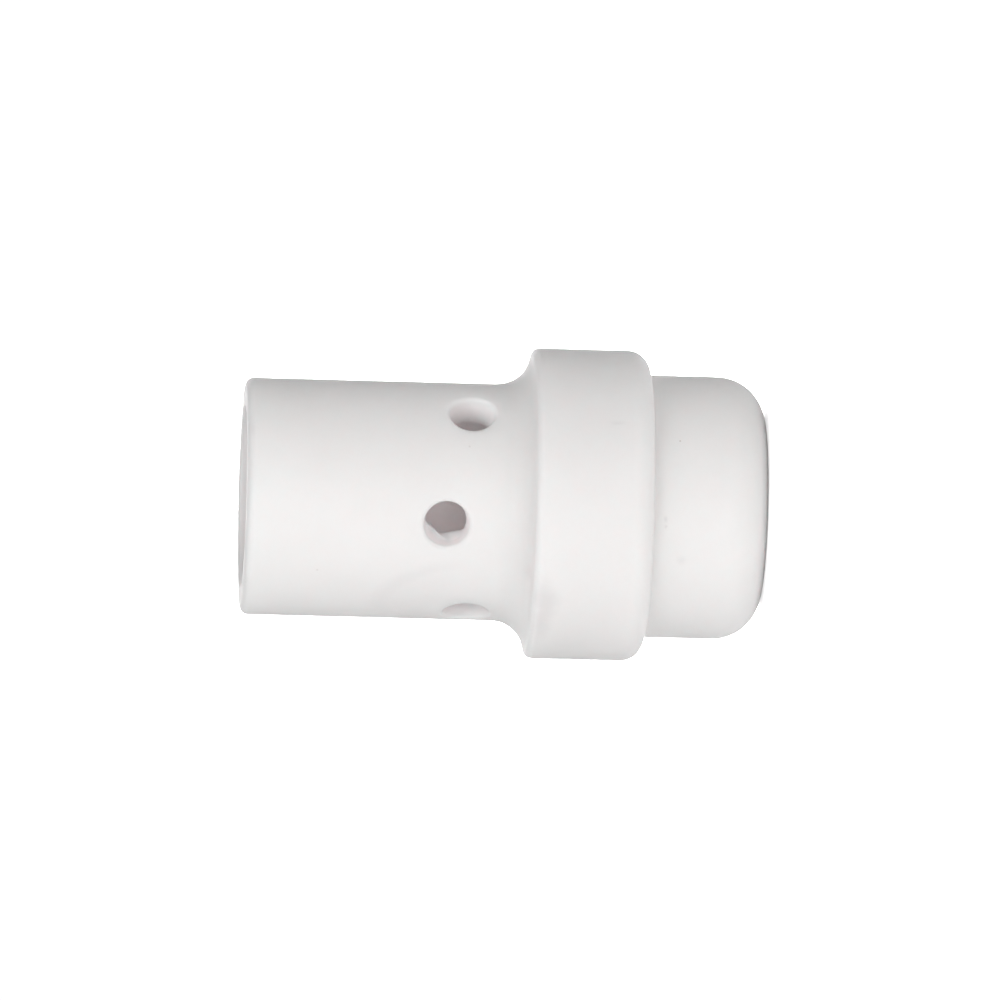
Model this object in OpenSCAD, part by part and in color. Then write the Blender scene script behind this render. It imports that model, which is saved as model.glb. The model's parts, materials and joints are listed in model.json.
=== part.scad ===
// Ceramic gas diffuser: a one-piece turned form with a stepped through bore
// and two staggered rows of radial gas holes.
// The axis is Z. The rear end face lies on z = 0 and the front end points up.

/* [Overall] */
// Length from the rear end face to the front end face
total_len = 32.5; // [30:0.5:45]

/* [Front tube] */
// Outside diameter of the tube that carries the gas holes
tube_d = 14.8; // [14:0.1:16]
// Rounding on the outer edge of the front end
tube_edge_r = 0.5; // [0.1:0.05:0.7]

/* [Collar] */
// Outside diameter of the collar that centres in the nozzle
collar_d = 19.4; // [18.6:0.1:24]
// Length of the collar from its rear face to the start of the shoulder
collar_len = 6.9; // [4:0.1:9]
// Convex radius where the collar turns down towards the front tube
shoulder_r = 0.5; // [0.1:0.05:1]
// Concave radius where that shoulder runs out on the front tube
cove_r = 2.15; // [0.5:0.05:3]
// Rounding on the collar's rear edge
collar_rear_r = 1.35; // [0.2:0.05:1.4]

/* [Rear spigot] */
// Outside diameter of the spigot behind the collar
spigot_d = 16.4; // [14:0.1:17.4]
// Length of the spigot from the rear end face to the collar
spigot_len = 7.3; // [5:0.1:10]
// Large rounding on the spigot's rear end
spigot_end_r = 3; // [0.5:0.1:3.5]
// Small concave fillet between the spigot and the collar
spigot_root_r = 0.1; // [0.05:0.05:0.3]

/* [Bore] */
// Diameter of the gas chamber behind the front end
chamber_d = 11; // [10:0.1:12.4]
// Diameter of the bore through the rear spigot
rear_bore_d = 8.4; // [6:0.1:9.5]
// Length of the rear bore from the rear end face to the seat
rear_bore_len = 9; // [6:0.1:14]
// Concave fillet round the foot of the gas chamber
seat_fillet_r = 0.5; // [0.1:0.05:1]
// Rounding on the seat's inner edge and on both mouths of the bore
bore_edge_r = 0.25; // [0.05:0.05:0.4]

/* [Gas holes] */
// Diameter of each radial gas hole at the outside of the tube
gas_hole_mouth_d = 2.9; // [2:0.1:3.2]
// Diameter of each radial gas hole at the wall of the gas chamber
gas_hole_throat_d = 2.5; // [1.5:0.1:2.9]
// Number of gas holes in each of the two rows
holes_per_row = 3; // [2:1:4]
// Distance from the front end face to the first row of holes
row_from_front = 12.4; // [8:0.1:13.5]
// Distance by which the second row sits further back
row_step = 1.55; // [0:0.05:2.5]
// Angle round the axis of the first hole in the first row
first_hole_angle = -90; // [-180:5:180]
// Rounding of the rim where a gas hole meets the outside of the tube
gas_hole_rim_r = 0.22; // [0.05:0.01:0.5]

/* [Hidden] */
$fn = 96;

tube_r = tube_d / 2;
collar_r = collar_d / 2;
spigot_r = spigot_d / 2;
chamber_r = chamber_d / 2;
rear_bore_r = rear_bore_d / 2;
mouth_r = gas_hole_mouth_d / 2;
throat_r = gas_hole_throat_d / 2;

// How far a cutter runs past the surface that it cuts
overcut = 1;
// Narrowest flat left between a rounding and the feature beside it
min_land = 0.05;

// Each rounding is limited by the wall that it sits on
rear_wall = collar_r - spigot_r - spigot_root_r;
collar_rear_fit = min(collar_rear_r, rear_wall - min_land);
end_wall = spigot_r - rear_bore_r - bore_edge_r;
spigot_end_fit = min(spigot_end_r, end_wall - min_land);
seat_wall = chamber_r - rear_bore_r - bore_edge_r;
seat_fillet_fit = min(seat_fillet_r, seat_wall - min_land);

// The shoulder and the cove are two arcs that touch where the blend is steepest.
// Where the collar stands higher than both radii, a straight wall joins them.
collar_front_z = spigot_len + collar_len;
shoulder_step = collar_r - tube_r;
blend_r = shoulder_r + cove_r;
blend_angle = acos(max(0, 1 - shoulder_step / blend_r));
blend_wall = max(0, shoulder_step - blend_r);
shoulder_centre = [collar_r - shoulder_r, collar_front_z];
blend_normal = [cos(blend_angle), sin(blend_angle)];
shoulder_foot = shoulder_centre + shoulder_r * blend_normal;
cove_foot = shoulder_foot - [blend_wall, 0];
cove_centre = cove_foot + cove_r * blend_normal;

// Each gas hole tapers inwards from its mouth to its throat
gas_hole_draft = atan((mouth_r - throat_r) / (tube_r - chamber_r));
// The rim's arc touches the hole's tapered wall on one side and the tube's outside on the other
rim_centre = [
    mouth_r + gas_hole_rim_r * (1 / cos(gas_hole_draft) - tan(gas_hole_draft)),
    tube_r - gas_hole_rim_r
];
rim_foot = rim_centre - gas_hole_rim_r * [cos(gas_hole_draft), -sin(gas_hole_draft)];

first_row_z = total_len - row_from_front;
second_row_z = first_row_z - row_step;
hole_pitch_angle = 360 / holes_per_row;
// The second row's holes stand half-way between those of the first row
row_stagger_angle = hole_pitch_angle / 2;

// Waste outside a convex quarter round.
// The arc's centre is the origin and its corner lies towards +X +Y.
module round_waste(r) {
    difference() {
        square(r + overcut);
        circle(r);
    }
}

// Web of a concave quarter round in the corner at the origin, which fills +X +Y
module fillet_web(r) {
    difference() {
        square(r);
        translate([r, r])
            circle(r);
    }
}

// Web between the front tube and the collar, with its shoulder and its cove
module collar_blend() {
    difference() {
        polygon([
            [tube_r, collar_front_z],
            shoulder_centre,
            cove_foot,
            cove_centre,
            [tube_r, cove_centre[1]]
        ]);
        translate(cove_centre)
            circle(cove_r);
    }
    translate(shoulder_centre)
        circle(shoulder_r);
    if (blend_wall > 0)
        polygon([shoulder_centre, shoulder_foot, cove_foot]);
}

// Half outline of the body without its bore, with the radius along X and the axis along Y
module body_outline() {
    difference() {
        union() {
            square([tube_r, total_len]);
            square([spigot_r, spigot_len]);
            translate([0, spigot_len])
                square([collar_r, collar_len]);
            collar_blend();
            translate([spigot_r, spigot_len])
                mirror([0, 1])
                    fillet_web(spigot_root_r);
        }
        translate([tube_r - tube_edge_r, total_len - tube_edge_r])
            round_waste(tube_edge_r);
        translate([collar_r - collar_rear_fit, spigot_len + collar_rear_fit])
            mirror([0, 1])
                round_waste(collar_rear_fit);
        translate([spigot_r - spigot_end_fit, spigot_end_fit])
            mirror([0, 1])
                round_waste(spigot_end_fit);
    }
}

// Half outline of the stepped bore, as the void that it leaves
module bore_outline() {
    translate([0, -overcut])
        square([rear_bore_r, total_len + 2 * overcut]);
    difference() {
        translate([0, rear_bore_len])
            square([chamber_r, total_len - rear_bore_len + overcut]);
        translate([chamber_r, rear_bore_len])
            mirror([1, 0])
                fillet_web(seat_fillet_fit);
    }
    translate([chamber_r + bore_edge_r, total_len - bore_edge_r])
        mirror([1, 0])
            round_waste(bore_edge_r);
    translate([rear_bore_r + bore_edge_r, rear_bore_len - bore_edge_r])
        mirror([1, 0])
            round_waste(bore_edge_r);
    translate([rear_bore_r + bore_edge_r, bore_edge_r])
        rotate(180)
            round_waste(bore_edge_r);
}

// One tapered gas hole with its rounded rim, as a cutter along +Z.
// It starts inside the gas chamber, and z = 0 is the diffuser's axis.
module gas_hole_cutter() {
    start = chamber_r - overcut;
    start_r = throat_r - overcut * tan(gas_hole_draft);
    end = collar_r + overcut;
    rotate_extrude()
        difference() {
            polygon([
                [0, start],
                [start_r, start],
                rim_foot,
                rim_centre,
                [rim_centre[0], end],
                [0, end]
            ]);
            translate(rim_centre)
                circle(gas_hole_rim_r);
        }
}

// One row of gas holes at height z, with its first hole at the angle start
module gas_hole_row(z, start) {
    for (i = [0 : holes_per_row - 1])
        rotate(start + i * hole_pitch_angle)
            translate([0, 0, z])
                rotate([0, 90, 0])
                    gas_hole_cutter();
}

module gas_diffuser() {
    color([0.95, 0.94, 0.93])
        difference() {
            rotate_extrude()
                difference() {
                    body_outline();
                    bore_outline();
                }
            gas_hole_row(first_row_z, first_hole_angle);
            gas_hole_row(second_row_z, first_hole_angle + row_stagger_angle);
        }
}

gas_diffuser();
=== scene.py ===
import json
import math

import bmesh
import bpy
from mathutils import Matrix, Vector


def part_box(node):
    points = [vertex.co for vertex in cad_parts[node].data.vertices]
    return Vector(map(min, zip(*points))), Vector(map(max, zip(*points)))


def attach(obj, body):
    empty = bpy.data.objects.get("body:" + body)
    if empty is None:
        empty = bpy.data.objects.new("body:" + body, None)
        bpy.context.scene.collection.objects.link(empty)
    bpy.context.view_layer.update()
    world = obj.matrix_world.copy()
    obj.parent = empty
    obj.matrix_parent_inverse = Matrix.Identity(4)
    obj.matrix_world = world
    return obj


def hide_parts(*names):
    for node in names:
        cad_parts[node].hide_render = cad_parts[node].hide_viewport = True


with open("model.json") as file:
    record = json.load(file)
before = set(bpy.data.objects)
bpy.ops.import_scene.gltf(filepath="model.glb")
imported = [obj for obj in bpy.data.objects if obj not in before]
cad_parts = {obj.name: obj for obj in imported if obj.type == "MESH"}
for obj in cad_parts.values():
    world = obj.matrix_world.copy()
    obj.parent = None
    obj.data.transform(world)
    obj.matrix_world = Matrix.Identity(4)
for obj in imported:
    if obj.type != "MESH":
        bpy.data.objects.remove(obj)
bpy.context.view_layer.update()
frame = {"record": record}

# ------------------------------------------------------------------ sizes
# Everything is in metres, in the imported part's frame: the axis is Z, the rear face is on z = 0.
MM = 0.001
mounts = {mount["name"]: mount for mount in frame["record"]["mounts"]}


def mount_radius(name):
    return mounts[name]["dims"]["r_mm"] * MM


TOTAL_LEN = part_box("gas_diffuser")[1].z
COLLAR_R = mount_radius("collar_outside")
SPIGOT_R = mount_radius("spigot_outside")
CHAMBER_R = mount_radius("chamber_mouth")
REAR_BORE_R = mount_radius("rear_bore")
TUBE_R = 7.4 * MM

TUBE_EDGE_R = 0.5 * MM  # front end's outer edge
SHOULDER_R = 0.5 * MM  # convex, where the collar turns down to the tube
COVE_R = 2.15 * MM  # concave, where that shoulder runs out on the tube
COLLAR_LEN = 6.9 * MM
COLLAR_REAR_R = 1.35 * MM
SPIGOT_LEN = 7.3 * MM
SPIGOT_END_R = 3.0 * MM
SPIGOT_ROOT_R = 0.1 * MM
REAR_BORE_LEN = 9.0 * MM
SEAT_FILLET_R = 0.5 * MM
BORE_EDGE_R = 0.25 * MM

HOLE_MOUTH_R = 1.45 * MM  # at the tube's outside
HOLE_THROAT_R = 1.25 * MM  # at the chamber's wall
HOLE_RIM_R = 0.22 * MM  # rolled edge outside
THROAT_EDGE_R = 0.3 * MM  # broken edge inside the chamber
HOLE_DRAFT = math.atan2(HOLE_MOUTH_R - HOLE_THROAT_R, TUBE_R - CHAMBER_R)
HOLE_COUNT = 6
FRONT_ROW_Z = TOTAL_LEN - 12.4 * MM
REAR_ROW_Z = FRONT_ROW_Z - 1.55 * MM
FIRST_HOLE_ANGLE = math.radians(-90)

# Moulding flash narrows one side of the first hole: a step part of the way down its wall
# and a web across its throat. Each has a straight edge, given by its direction, from across
# towards up, and by its distance from the hole's axis.
FLASH_HOLE = 0
STEP_EDGE = (math.radians(139), 0.9 * MM)
STEP_DEPTH = 0.65  # as a share of the wall
WEB_EDGE = (math.radians(190), 0.86 * MM)
FLASH_BLEND = 16  # higher for sharper corners where the edges meet each other and the hole

# The band of the tube that the gas holes sit in, one sixth of a turn to each hole
BAND_LOW = 15.9 * MM
BAND_HIGH = 22.8 * MM
SECTOR = math.tau / HOLE_COUNT
SECTOR_STEPS = 40
BAND_STEPS = 44

# Rings round a gas hole, from the band's outside edge to the one inside
OUTSIDE_RINGS = 14
RIM_RINGS = 8
WALL_RINGS = 6  # down to the flash's step, or where it would be
STEP_RINGS = 5  # from there to the throat
THROAT_RINGS = 5
INSIDE_RINGS = 10
RING_EASE = 1.6  # higher to bring the rings closer to the hole
EDGE_PASSES = 6  # rounds in which the place of a rolled edge settles

ARC_STEP = math.radians(6)
ARC_STEPS_MIN = 4
RING_GAP = 1.0 * MM  # largest gap between rings along a straight wall
SAME_POINT = 1e-9
WELD_GAP = 0.0005 * MM


# ------------------------------------------------------------------ profile
def arc(centre_r, centre_z, radius, start, end):
    """Points of an arc in the half plane (radius, height), angles in degrees from +radius."""
    start, end = math.radians(start), math.radians(end)
    steps = max(ARC_STEPS_MIN, math.ceil(abs(end - start) / ARC_STEP))
    angles = [start + (end - start) * i / steps for i in range(steps + 1)]
    return [(centre_r + radius * math.cos(a), centre_z + radius * math.sin(a)) for a in angles]


def joined(*runs):
    """One profile from several runs, with rings added along the straight walls between them."""
    points = [runs[0][0]]
    for run in runs:
        for target in run:
            last = points[-1]
            gap = math.dist(last, target)
            if gap < SAME_POINT:
                continue
            steps = max(1, math.ceil(gap / RING_GAP))
            for i in range(1, steps + 1):
                points.append(tuple(a + (b - a) * i / steps for a, b in zip(last, target)))
    return points


shoulder_z = SPIGOT_LEN + COLLAR_LEN
blend_angle = math.acos(1 - (COLLAR_R - TUBE_R) / (SHOULDER_R + COVE_R))
cove_z = shoulder_z + (SHOULDER_R + COVE_R) * math.sin(blend_angle)
cove_centre_r = TUBE_R + COVE_R


def outer_radius(z):
    """Radius of the outside in the band of the gas holes: the tube, or the cove's upper end."""
    if z >= cove_z:
        return TUBE_R
    return cove_centre_r - math.sqrt(COVE_R**2 - (cove_z - z) ** 2)


def chamber_radius(z):
    """Radius of the gas chamber, which is the same at every height of the band."""
    return CHAMBER_R


def front_profile():
    """From the top of the band, over the front end and down into the chamber."""
    return joined(
        [(TUBE_R, BAND_HIGH)],
        arc(TUBE_R - TUBE_EDGE_R, TOTAL_LEN - TUBE_EDGE_R, TUBE_EDGE_R, 0, 90),
        arc(CHAMBER_R + BORE_EDGE_R, TOTAL_LEN - BORE_EDGE_R, BORE_EDGE_R, 90, 180),
        [(CHAMBER_R, BAND_HIGH)],
    )


def rear_profile():
    """From the band's foot in the chamber, through the rear bore and up the outside to the band."""
    cove_end = 180 + math.degrees(math.asin((cove_z - BAND_LOW) / COVE_R))
    return joined(
        [(CHAMBER_R, BAND_LOW)],
        arc(CHAMBER_R - SEAT_FILLET_R, REAR_BORE_LEN + SEAT_FILLET_R, SEAT_FILLET_R, 0, -90),
        arc(REAR_BORE_R + BORE_EDGE_R, REAR_BORE_LEN - BORE_EDGE_R, BORE_EDGE_R, 90, 180),
        arc(REAR_BORE_R + BORE_EDGE_R, BORE_EDGE_R, BORE_EDGE_R, 180, 270),
        arc(SPIGOT_R - SPIGOT_END_R, SPIGOT_END_R, SPIGOT_END_R, -90, 0),
        arc(SPIGOT_R + SPIGOT_ROOT_R, SPIGOT_LEN - SPIGOT_ROOT_R, SPIGOT_ROOT_R, 180, 90),
        arc(COLLAR_R - COLLAR_REAR_R, SPIGOT_LEN + COLLAR_REAR_R, COLLAR_REAR_R, -90, 0),
        arc(COLLAR_R - SHOULDER_R, shoulder_z, SHOULDER_R, 0, math.degrees(blend_angle)),
        arc(cove_centre_r, cove_z, COVE_R, 180 + math.degrees(blend_angle), cove_end),
    )


# ------------------------------------------------------------------ mesh
def at(angle, radius, z):
    return (radius * math.cos(angle), radius * math.sin(angle), z)


def add_grid(verts, faces, rows, wrap):
    """Adds a grid of points, as rows of equal length, and its quads.

    wrap joins the last row to the first.
    """
    base = len(verts)
    width = len(rows[0])
    for row in rows:
        verts.extend(row)
    for i in range(len(rows) if wrap else len(rows) - 1):
        a, b = base + i * width, base + (i + 1) % len(rows) * width
        faces.extend((a + k, b + k, b + k + 1, a + k + 1) for k in range(width - 1))


def lathe(verts, faces, profile):
    """Turns a profile about the axis, with the same division as the band's six sectors."""
    start = FIRST_HOLE_ANGLE - SECTOR / 2
    count = HOLE_COUNT * SECTOR_STEPS
    angles = [start + math.tau * i / count for i in range(count)]
    add_grid(verts, faces, [[at(a, r, z) for r, z in profile] for a in angles], wrap=True)


def sector_outline():
    """The edge of one sector of the band, once round, as (angle from the sector's middle, height)."""
    across = [SECTOR * (i / SECTOR_STEPS - 0.5) for i in range(SECTOR_STEPS)]
    upward = [BAND_LOW + (BAND_HIGH - BAND_LOW) * i / BAND_STEPS for i in range(BAND_STEPS)]
    low = [(a, BAND_LOW) for a in across]
    right = [(SECTOR / 2, z) for z in upward]
    high = [(-a, BAND_HIGH) for a in across]
    left = [(-SECTOR / 2, BAND_LOW + BAND_HIGH - z) for z in upward]
    return low + right + high + left


def eased(steps):
    """Fractions from 0 to 1 that start out small, so that rings lie close round a hole."""
    return [(i / steps) ** RING_EASE for i in range(steps + 1)]


def ball_centre(path_r, ball_r, phi):
    """Centre of a ball that touches a gas hole's tapered wall and keeps to path_r round the main axis.

    The point is (across, outward, up), with outward along the hole's axis and phi round that axis.
    """
    outward = path_r
    for _ in range(EDGE_PASSES):
        hole_r = HOLE_MOUTH_R - (TUBE_R - outward) * math.tan(HOLE_DRAFT)
        reach = hole_r + ball_r / math.cos(HOLE_DRAFT)
        outward = math.sqrt(path_r**2 - (reach * math.cos(phi)) ** 2)
    return Vector((reach * math.cos(phi), outward, reach * math.sin(phi)))


def rolled_edge(centre, ball_r, steps, start, end):
    """Points that a ball's surface leaves as an edge, from the direction start to the direction end."""
    axis, angle = start.rotation_difference(end).to_axis_angle()
    turns = [Matrix.Rotation(angle * i / steps, 3, axis) for i in range(steps + 1)]
    return [centre + ball_r * (turn @ start) for turn in turns]


def skin(contact, hole_z, edge_angle, edge_z, radius_at, steps):
    """Points on a round wall from a hole's rolled edge to the sector's edge."""
    start_angle, start_z = math.atan2(contact.x, contact.y), hole_z + contact.z
    points = []
    for share in eased(steps)[1:]:
        angle = start_angle + (edge_angle - start_angle) * share
        z = start_z + (edge_z - start_z) * share
        radius = radius_at(z)
        points.append(Vector((radius * math.sin(angle), radius * math.cos(angle), z - hole_z)))
    return points


def narrowed(point, index, phi, *edges):
    """The point drawn in towards the hole's axis as far as the flash's edges ask.

    It keeps its distance from the main axis.
    """
    total = 1
    if index == FLASH_HOLE:
        for direction, distance in edges:
            towards = max(0, math.cos(phi - direction)) * math.hypot(point.x, point.z)
            total += (towards / distance) ** FLASH_BLEND
    share = total ** (-1 / FLASH_BLEND)
    across = point.x * share
    outward = math.sqrt(point.x**2 + point.y**2 - across**2)
    return Vector((across, outward, point.z * share))


def curved(start, corner, end, share):
    """A point on a curve that leaves start towards the corner and reaches end from there."""
    return start.lerp(corner, share).lerp(corner.lerp(end, share), share)


def hole_spoke(edge_angle, edge_z, hole_z, index):
    """One line of points: outside the band to the hole, through it and back out inside the band."""
    phi = math.atan2(edge_z - hole_z, TUBE_R * edge_angle)
    lean = math.cos(HOLE_DRAFT)
    to_axis = Vector((-math.cos(phi) * lean, math.sin(HOLE_DRAFT), -math.sin(phi) * lean))

    rim_centre = ball_centre(TUBE_R - HOLE_RIM_R, HOLE_RIM_R, phi)
    from_outside = Vector((rim_centre.x, rim_centre.y, 0)).normalized()
    rim = rolled_edge(rim_centre, HOLE_RIM_R, RIM_RINGS, from_outside, to_axis)

    throat_centre = ball_centre(CHAMBER_R + THROAT_EDGE_R, THROAT_EDGE_R, phi)
    to_chamber = Vector((-throat_centre.x, -throat_centre.y, 0)).normalized()
    throat = rolled_edge(throat_centre, THROAT_EDGE_R, THROAT_RINGS, to_axis, to_chamber)

    step_foot = rim[-1].lerp(throat[0], STEP_DEPTH)
    step_edge = narrowed(step_foot, index, phi, STEP_EDGE)
    throat = [narrowed(point, index, phi, STEP_EDGE, WEB_EDGE) for point in throat]

    outside = skin(rim[0], hole_z, edge_angle, edge_z, outer_radius, OUTSIDE_RINGS)[::-1]
    shares = [i / WALL_RINGS for i in range(1, WALL_RINGS + 1)]
    wall = [curved(rim[-1], step_foot, step_edge, share) for share in shares]
    wall += [step_edge.lerp(throat[0], i / STEP_RINGS) for i in range(1, STEP_RINGS)]
    inside = skin(throat[-1], hole_z, edge_angle, edge_z, chamber_radius, INSIDE_RINGS)
    return outside + rim + wall + throat + inside


def hole_sector(verts, faces, index):
    """One sixth of the band, outside and inside, with its gas hole."""
    middle = FIRST_HOLE_ANGLE + index * SECTOR
    hole_z = FRONT_ROW_Z if index % 2 == 0 else REAR_ROW_Z
    outward = Vector((math.cos(middle), math.sin(middle), 0))
    across = Vector((-math.sin(middle), math.cos(middle), 0))

    def placed(point):
        return tuple(across * point.x + outward * point.y + Vector((0, 0, hole_z + point.z)))

    rows = []
    for edge_angle, edge_z in sector_outline():
        spoke = hole_spoke(edge_angle, edge_z, hole_z, index)
        rows.append([placed(point) for point in spoke])
    add_grid(verts, faces, rows, wrap=True)


def ceramic_body():
    """The whole one-piece body as a closed mesh of quads."""
    verts, faces = [], []
    lathe(verts, faces, front_profile())
    lathe(verts, faces, rear_profile())
    for index in range(HOLE_COUNT):
        hole_sector(verts, faces, index)
    mesh = bpy.data.meshes.new("ceramic_body")
    mesh.from_pydata(verts, [], faces)
    weld(mesh)
    mesh.shade_smooth()
    piece = bpy.data.objects.new("ceramic_body", mesh)
    bpy.context.scene.collection.objects.link(piece)
    return piece


def weld(mesh):
    """Joins the points that two runs share, and turns every face outward."""
    work = bmesh.new()
    work.from_mesh(mesh)
    bmesh.ops.remove_doubles(work, verts=work.verts, dist=WELD_GAP)
    bmesh.ops.recalc_face_normals(work, faces=work.faces)
    work.to_mesh(mesh)
    work.free()


# ------------------------------------------------------------------ camera
CAMERA_AZIMUTH = math.radians(11.4)
CAMERA_ELEVATION = math.radians(3.43)
CAMERA_DISTANCE = 890 * MM
CAMERA_TILT = math.radians(1.5)
CLIP_START = 0.05
CLIP_END = 20
PIXELS_PER_METRE = 16000
FRAME_PIXELS = 1000
SENSOR_WIDTH = 36  # in millimetres, as the lens is
AIM_Z = 16.4 * MM  # on the object's axis
AIM_UP = 0.15 * MM  # from there, upward in the picture


def photo_axes():
    """(right, up, back) of the photograph's view: the front end lies to the left."""
    level = math.cos(CAMERA_ELEVATION)
    back = Vector(
        (
            math.sin(CAMERA_AZIMUTH) * level,
            -math.cos(CAMERA_AZIMUTH) * level,
            math.sin(CAMERA_ELEVATION),
        )
    )
    axis = Vector((0, 0, 1))
    left = (axis - axis.dot(back) * back).normalized()
    side = left.cross(back)
    right = -math.cos(CAMERA_TILT) * left + math.sin(CAMERA_TILT) * side
    up = math.sin(CAMERA_TILT) * left + math.cos(CAMERA_TILT) * side
    return right, up, back


def make_camera():
    right, up, back = photo_axes()
    data = bpy.data.cameras.new("camera")
    data.sensor_width = SENSOR_WIDTH
    data.lens = PIXELS_PER_METRE * CAMERA_DISTANCE * SENSOR_WIDTH / FRAME_PIXELS
    data.clip_start, data.clip_end = CLIP_START, CLIP_END
    camera = bpy.data.objects.new("camera", data)
    aim = Vector((0, 0, AIM_Z)) + AIM_UP * up
    turned = Matrix((right, up, back)).transposed().to_4x4()
    camera.matrix_world = Matrix.Translation(aim + CAMERA_DISTANCE * back) @ turned
    bpy.context.scene.collection.objects.link(camera)
    bpy.context.scene.camera = camera


# ------------------------------------------------------------------ materials
OUTSIDE_COLOUR = (0.882, 0.869, 0.863)
# Painted light: the inside of the bore and the walls of the gas holes are coloured lighter and pinker
# than the outside, standing in for light that reaches them
BORE_PAINTED_LIGHT = (0.973, 0.908, 0.911)
WALL_FADE = (0.1 * MM, 0.7 * MM)  # the bore's painted light comes in between these depths under the outside
END_FADE = (0.3 * MM, 0.8 * MM)  # and between these depths under either end face

SCATTER_REACH = 2.0 * MM
SCATTER_SHARES = (0.9, 0.8, 0.8)  # of that reach, for red, green and blue
ROUGHNESS = 0.52
CLOUD_ROUGHNESS = 0.12  # what the clouds and the grain add to it
GRAIN_ROUGHNESS = 0.08
SHEEN = 0.3

FINE_DETAIL = 3  # noise layers in the clouds and the grain
CLOUD_SIZE = 5 * MM
CLOUD_RANGE = (0.35, 0.75)
CLOUD_TINT = (0.66, 0.62, 0.58)
GRAIN_SIZE = 0.16 * MM
GRAIN_TINT = (0.62, 0.60, 0.58)
GRAIN_HEIGHT = 0.0015 * MM
PIT_CELL = 1.6 * MM
PIT_EDGE = (0.06, 0.025)  # radii at which a pit starts and is full, as a share of its cell
PIT_CHOICE = 0.89  # about one cell in nine lies above it
PIT_TINT = (0.45, 0.40, 0.36)
HOLLOW_DEPTH = 3.0  # of pits and specks, as a multiple of the grain's height

# Marks on the outside, some of them painted shade, each as (degrees round the axis from -Y,
# height, width, length along the axis), with the sizes in mm
SPECKS = (
    (41.5, 5.74, 0.16, 0.16),
    (160, 4.4, 0.2, 0.14),
    (231, 11.6, 0.18, 0.2),
    (118, 26.3, 0.14, 0.18),
)
# The first two rubs are painted shade laid along one side of the collar's shoulder; the last two are
# real marks on the spigot
RUBS_AND_PAINTED_SHADE = (
    (-26, 14.1, 4.6, 2.0),
    (-38, 14.1, 5.4, 2.0),
    (6.1, 6.56, 0.6, 0.42),
    (3.0, 6.58, 0.4, 0.26),
)
# The first four smudges are painted shade along the same side of the collar's shoulder; the rest are
# real smudges
SMUDGES_AND_PAINTED_SHADE = (
    (-18.5, 14.9, 1.9, 1.3),
    (-22.5, 14.3, 2.2, 1.3),
    (-27, 13.4, 2.4, 1.6),
    (-31, 13.6, 2.4, 1.7),
    (43.2, 9.7, 0.5, 1.5),
    (-12.2, 5.5, 0.9, 0.9),
    (46, 32.25, 1.9, 0.5),
    (205, 9.9, 1.6, 1.2),
    (148, 24.5, 1.4, 2.2),
    (262, 3.6, 1.5, 1.0),
)
STAIN = (-48, 18, 7, 12)
STAIN_EDGE = 0.2  # half width of the stain's edge, as a share of its size
STAIN_FILL = 0.45  # the tone inside, as a share of the edge's
STAIN_FADE = (18 * MM, 21.5 * MM)  # heights between which it comes in
SPECK_CORE = 0.45  # share of a speck that has its full tone
# Tone of the real marks and stain, and also of the painted shade on the collar's shoulder
MARK_AND_SHADE_TINT = (0.42, 0.38, 0.40)
SPECK_TINT = (0.30, 0.20, 0.14)
WAVER_SIZE = 0.5 * MM
WAVER_REACH = 0.12 * MM

# Radius of the outside up to each height, which the marks are set on
OUTSIDE_RADII = (
    (SPIGOT_LEN, SPIGOT_R),
    (shoulder_z, COLLAR_R),
    (cove_z, TUBE_R + 1.0 * MM),
    (TOTAL_LEN, TUBE_R),
)

FLOOR_COLOUR = (0.95, 0.95, 0.95, 1)
FLOOR_ROUGHNESS = 0.25
FLOOR_GLOSS = 0.4  # share of the floor's light that it sends back as a sheen
FLOOR_LIFT = 0.62  # brings the floor up to white where the camera sees it


def new_material(name):
    material = bpy.data.materials.new(name)
    material.use_nodes = True
    material.node_tree.nodes.clear()
    return material, material.node_tree.nodes, material.node_tree.links


def maths(nodes, links, operation, *values, clamp=False):
    node = nodes.new("ShaderNodeMath")
    node.operation = operation
    node.use_clamp = clamp
    for socket, value in zip(node.inputs, values):
        if isinstance(value, bpy.types.NodeSocket):
            links.new(value, socket)
        else:
            socket.default_value = value
    return node.outputs[0]


def ramp(nodes, links, value, low, high):
    """Rises smoothly from 0 to 1 as value goes from low to high."""
    node = nodes.new("ShaderNodeMapRange")
    node.interpolation_type = "SMOOTHSTEP"
    node.inputs["From Min"].default_value = low
    node.inputs["From Max"].default_value = high
    links.new(value, node.inputs["Value"])
    return node.outputs["Result"]


def mix_colour(nodes, links, share, first, second):
    node = nodes.new("ShaderNodeMix")
    node.data_type = "RGBA"
    links.new(share, node.inputs["Factor"])
    for socket, value in ((node.inputs["A"], first), (node.inputs["B"], second)):
        if isinstance(value, bpy.types.NodeSocket):
            links.new(value, socket)
        else:
            socket.default_value = (*value, 1)
    return node.outputs["Result"]


def vector_maths(nodes, links, operation, *values):
    node = nodes.new("ShaderNodeVectorMath")
    node.operation = operation
    for socket, value in zip(node.inputs, values):
        if isinstance(value, bpy.types.NodeSocket):
            links.new(value, socket)
        else:
            socket.default_value = value
    return node


def noise(nodes, links, coords, size, detail=2):
    """Cloudy noise from 0 to 1, whose patches are about size across."""
    node = nodes.new("ShaderNodeTexNoise")
    node.inputs["Scale"].default_value = 1 / size
    node.inputs["Detail"].default_value = detail
    links.new(coords, node.inputs["Vector"])
    return node


def wavered(nodes, links, coords):
    """The same coordinates, pushed about by noise, so that marks have uneven edges."""
    clouds = noise(nodes, links, coords, WAVER_SIZE).outputs["Color"]
    push = vector_maths(nodes, links, "SUBTRACT", clouds, (0.5, 0.5, 0.5))
    scaled = vector_maths(nodes, links, "SCALE", push.outputs[0])
    scaled.inputs["Scale"].default_value = 2 * WAVER_REACH
    return vector_maths(nodes, links, "ADD", coords, scaled.outputs[0]).outputs[0]


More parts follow.
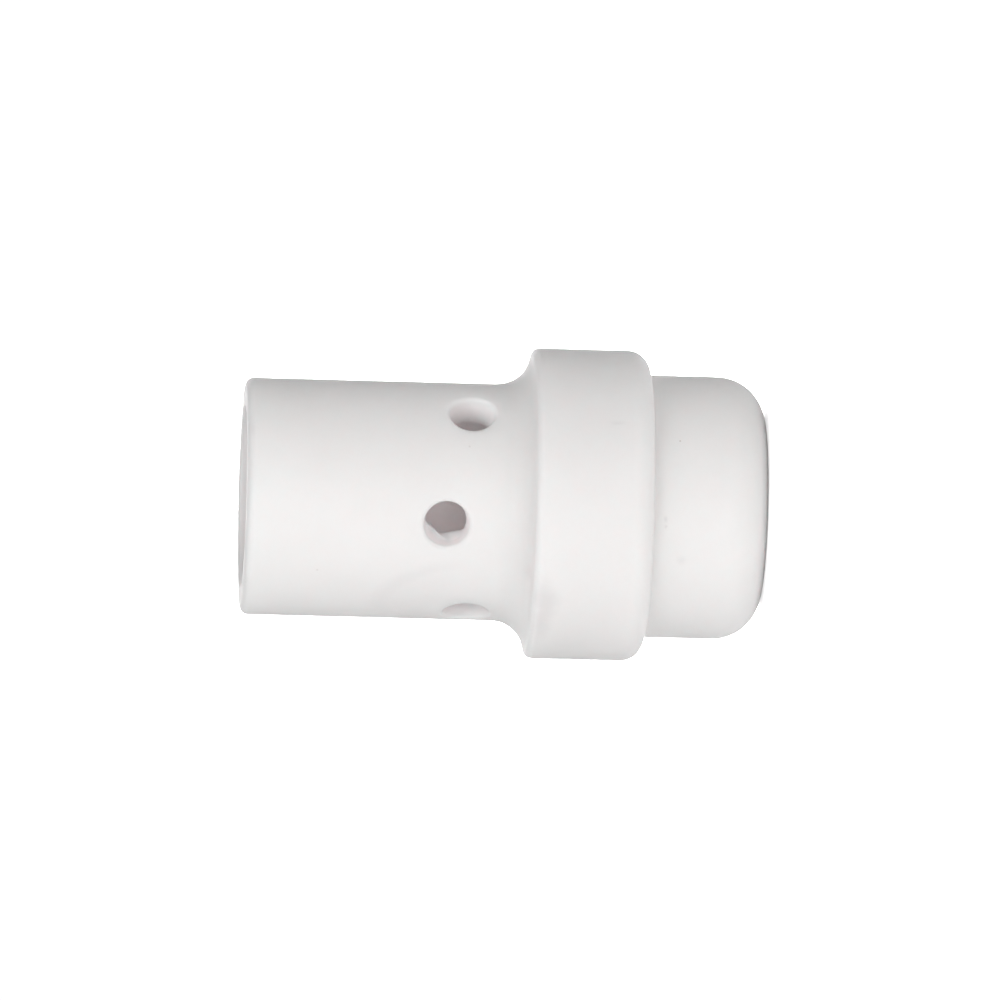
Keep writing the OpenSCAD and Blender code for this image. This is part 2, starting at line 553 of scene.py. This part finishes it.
def oval_reach(nodes, links, coords, place):
    """Distance from the middle of an oval on the surface: 0 there and 1 on its edge."""
    azimuth, z, across, along = place
    radius = next(r for top, r in OUTSIDE_RADII if z * MM < top)
    angle = math.radians(azimuth - 90)
    offset = vector_maths(nodes, links, "SUBTRACT", coords, at(angle, radius, z * MM))
    stretch = (2 / (across * MM), 2 / (across * MM), 2 / (along * MM))
    scaled = vector_maths(nodes, links, "MULTIPLY", offset.outputs[0], stretch)
    return vector_maths(nodes, links, "LENGTH", scaled.outputs[0]).outputs["Value"]


def marks(nodes, links, coords, places, core):
    """All the ovals of one kind as one mask: 1 within the core share of each, and 0 outside it."""
    masks = [ramp(nodes, links, oval_reach(nodes, links, coords, place), 1.0, core) for place in places]
    total = masks[0]
    for mask in masks[1:]:
        total = maths(nodes, links, "MAXIMUM", total, mask)
    return total


def dried_stain(nodes, links, coords):
    """The front part of a dried stain round the third hole: faint inside, with a darker edge."""
    reach = oval_reach(nodes, links, coords, STAIN)
    off_edge = maths(nodes, links, "ABSOLUTE", maths(nodes, links, "SUBTRACT", reach, 1.0))
    edge = ramp(nodes, links, off_edge, STAIN_EDGE, 0.0)
    inside = ramp(nodes, links, reach, 1.0 + STAIN_EDGE, 1.0 - STAIN_EDGE)
    faint = maths(nodes, links, "MULTIPLY", inside, STAIN_FILL)
    mask = maths(nodes, links, "MAXIMUM", edge, faint)
    split = nodes.new("ShaderNodeSeparateXYZ")
    links.new(coords, split.inputs[0])
    shown = ramp(nodes, links, split.outputs["Z"], *STAIN_FADE)
    return maths(nodes, links, "MULTIPLY", mask, shown)


def ceramic_material():
    """Matte fired ceramic that light sinks into, with a fine grain, faint clouds, pits and marks,
    painted light inside the bore and painted shade on one side of the collar's shoulder.
    """
    material, nodes, links = new_material("unglazed_ceramic")
    out = nodes.new("ShaderNodeOutputMaterial")
    shader = nodes.new("ShaderNodeBsdfPrincipled")
    coords = nodes.new("ShaderNodeTexCoord").outputs["Object"]
    uneven = wavered(nodes, links, coords)

    # The bore's colour is painted light inside the chamber and on the walls of the gas holes
    colour = mix_colour(nodes, links, bore_painted_light_mask(nodes, links, coords), OUTSIDE_COLOUR, BORE_PAINTED_LIGHT)
    clouds = noise(nodes, links, coords, CLOUD_SIZE, FINE_DETAIL).outputs[0]
    clouds = ramp(nodes, links, clouds, *CLOUD_RANGE)
    grain = noise(nodes, links, coords, GRAIN_SIZE, FINE_DETAIL).outputs[0]
    pits = pit_mask(nodes, links, coords)
    smudges_and_shade = marks(nodes, links, uneven, SMUDGES_AND_PAINTED_SHADE, 0.0)
    rubs_and_shade = marks(nodes, links, uneven, RUBS_AND_PAINTED_SHADE, 0.0)
    stain = dried_stain(nodes, links, uneven)
    specks = marks(nodes, links, uneven, SPECKS, SPECK_CORE)
    for mask, strength, tint in (
        (clouds, 0.045, CLOUD_TINT),
        (grain, 0.05, GRAIN_TINT),
        # The smudges and rubs hold painted shade on one side of the collar's shoulder as well as real
        # marks
        (smudges_and_shade, 0.09, MARK_AND_SHADE_TINT),
        (rubs_and_shade, 0.18, MARK_AND_SHADE_TINT),
        (stain, 0.065, MARK_AND_SHADE_TINT),
        (pits, 0.2, PIT_TINT),
        (specks, 0.35, SPECK_TINT),
    ):
        share = maths(nodes, links, "MULTIPLY", mask, strength)
        colour = mix_colour(nodes, links, share, colour, tint)
    links.new(colour, shader.inputs["Base Color"])

    roughness = maths(nodes, links, "MULTIPLY_ADD", clouds, CLOUD_ROUGHNESS, ROUGHNESS)
    roughness = maths(nodes, links, "MULTIPLY_ADD", grain, GRAIN_ROUGHNESS, roughness)
    links.new(roughness, shader.inputs["Roughness"])
    shader.inputs["Specular IOR Level"].default_value = SHEEN
    shader.inputs["Subsurface Weight"].default_value = 1.0
    shader.inputs["Subsurface Radius"].default_value = SCATTER_SHARES
    shader.inputs["Subsurface Scale"].default_value = SCATTER_REACH

    hollow = maths(nodes, links, "MAXIMUM", pits, specks)
    height = maths(nodes, links, "MULTIPLY_ADD", hollow, -HOLLOW_DEPTH, grain)
    bump = nodes.new("ShaderNodeBump")
    bump.inputs["Distance"].default_value = GRAIN_HEIGHT
    links.new(height, bump.inputs["Height"])
    links.new(bump.outputs[0], shader.inputs["Normal"])
    links.new(shader.outputs[0], out.inputs[0])
    return material


def bore_painted_light_mask(nodes, links, coords):
    """Where the bore's painted light goes: 1 in the bore and on the walls of the gas holes, and 0 on
    the outside and the front end.
    """
    split = nodes.new("ShaderNodeSeparateXYZ")
    links.new(coords, split.inputs[0])
    across = maths(nodes, links, "MULTIPLY", split.outputs["X"], split.outputs["X"])
    squared = maths(nodes, links, "MULTIPLY_ADD", split.outputs["Y"], split.outputs["Y"], across)
    radius = maths(nodes, links, "SQRT", squared)
    inside = ramp(nodes, links, radius, *(TUBE_R - depth for depth in WALL_FADE))
    below_front = ramp(nodes, links, split.outputs["Z"], *(TOTAL_LEN - depth for depth in END_FADE))
    above_rear = ramp(nodes, links, split.outputs["Z"], *END_FADE)
    within = maths(nodes, links, "MULTIPLY", inside, below_front)
    return maths(nodes, links, "MULTIPLY", within, above_rear)


def pit_mask(nodes, links, coords):
    """Tiny round pits, one at the point of each cell that is chosen."""
    cells = nodes.new("ShaderNodeTexVoronoi")
    cells.inputs["Scale"].default_value = 1 / PIT_CELL
    links.new(coords, cells.inputs["Vector"])
    near = ramp(nodes, links, cells.outputs["Distance"], *PIT_EDGE)
    pick = nodes.new("ShaderNodeSeparateColor")
    links.new(cells.outputs["Color"], pick.inputs[0])
    chosen = maths(nodes, links, "GREATER_THAN", pick.outputs[0], PIT_CHOICE)
    return maths(nodes, links, "MULTIPLY", near, chosen)


def floor_material():
    """White satin acrylic, lifted to white where it shows, with the object's shadow kept."""
    material, nodes, links = new_material("pale_floor")
    out = nodes.new("ShaderNodeOutputMaterial")
    diffuse = nodes.new("ShaderNodeBsdfDiffuse")
    satin = nodes.new("ShaderNodeBsdfGlossy")
    satin.inputs["Roughness"].default_value = FLOOR_ROUGHNESS
    for shader in (diffuse, satin):
        shader.inputs["Color"].default_value = FLOOR_COLOUR
    surface = nodes.new("ShaderNodeMixShader")
    surface.inputs[0].default_value = FLOOR_GLOSS
    links.new(diffuse.outputs[0], surface.inputs[1])
    links.new(satin.outputs[0], surface.inputs[2])
    glow = nodes.new("ShaderNodeEmission")
    add = nodes.new("ShaderNodeAddShader")
    lift = maths(nodes, links, "MULTIPLY", background_rays(nodes, links), FLOOR_LIFT)
    links.new(lift, glow.inputs["Strength"])
    links.new(surface.outputs[0], add.inputs[0])
    links.new(glow.outputs[0], add.inputs[1])
    links.new(add.outputs[0], out.inputs[0])
    return material


# ------------------------------------------------------------------ stage
FLOOR_REACH = 3.0  # from the middle to each side
AMBIENT_LEVEL = 0.08


def make_floor():
    corners = [(x * FLOOR_REACH, y * FLOOR_REACH, 0) for x, y in ((-1, -1), (1, -1), (1, 1), (-1, 1))]
    mesh = bpy.data.meshes.new("floor")
    mesh.from_pydata(corners, [], [(0, 1, 2, 3)])
    floor = bpy.data.objects.new("floor", mesh)
    mesh.materials.append(floor_material())
    bpy.context.scene.collection.objects.link(floor)


def make_world():
    """Even light from all round, and plain white behind the object and in what it reflects."""
    world = bpy.data.worlds.new("studio")
    world.use_nodes = True
    nodes, links = world.node_tree.nodes, world.node_tree.links
    nodes.clear()
    out = nodes.new("ShaderNodeOutputWorld")
    ambient = nodes.new("ShaderNodeBackground")
    ambient.inputs["Strength"].default_value = AMBIENT_LEVEL
    white = nodes.new("ShaderNodeBackground")
    for node in (ambient, white):
        node.inputs["Color"].default_value = (1, 1, 1, 1)
    mix = nodes.new("ShaderNodeMixShader")
    links.new(background_rays(nodes, links), mix.inputs[0])
    links.new(ambient.outputs[0], mix.inputs[1])
    links.new(white.outputs[0], mix.inputs[2])
    links.new(mix.outputs[0], out.inputs[0])
    bpy.context.scene.world = world


def background_rays(nodes, links):
    """1 for rays that show the background: straight from the camera, mirrored or seen through."""
    path = nodes.new("ShaderNodeLightPath").outputs
    shown = maths(nodes, links, "MAXIMUM", path["Is Camera Ray"], path["Is Glossy Ray"])
    return maths(nodes, links, "MAXIMUM", shown, path["Is Transmission Ray"])


def softbox(name, azimuth, elevation, distance, width, height, level):
    """An area light aimed at the object. level is what it adds to a white surface that faces it."""
    turn, rise = math.radians(azimuth), math.radians(elevation)
    level_share = math.cos(rise)
    back = Vector((math.sin(turn) * level_share, -math.cos(turn) * level_share, math.sin(rise)))
    data = bpy.data.lights.new(name, "AREA")
    data.shape = "RECTANGLE"
    data.size, data.size_y = width, height
    # A small even source of P watts gives P / (pi d^2) straight ahead, and a white surface
    # sends back 1 / pi of it
    data.energy = level * math.pi**2 * distance**2
    light = bpy.data.objects.new(name, data)
    light.location = back * distance + Vector((0, 0, TOTAL_LEN / 2))
    light.rotation_mode = "QUATERNION"
    light.rotation_quaternion = back.to_track_quat("Z", "Y")
    bpy.context.scene.collection.objects.link(light)


# ------------------------------------------------------------------ scene
bpy.context.scene.view_settings.view_transform = "Standard"
make_camera()
make_world()
make_floor()
softbox("left", azimuth=-57, elevation=3.5, distance=1, width=0.4, height=0.12, level=0.115)
softbox("front", azimuth=0, elevation=3.5, distance=1, width=0.4, height=0.12, level=0.12)
softbox("high", azimuth=10, elevation=35, distance=1, width=0.4, height=0.4, level=0.335)
softbox("top", azimuth=10, elevation=58, distance=1, width=0.4, height=0.4, level=0.2)
softbox("rear", azimuth=-150, elevation=60, distance=1, width=0.4, height=0.4, level=0.09)
softbox("back", azimuth=190, elevation=5, distance=1, width=0.5, height=0.12, level=0.37)

body = ceramic_body()
body.data.materials.append(ceramic_material())
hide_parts("gas_diffuser")
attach(body, "root")
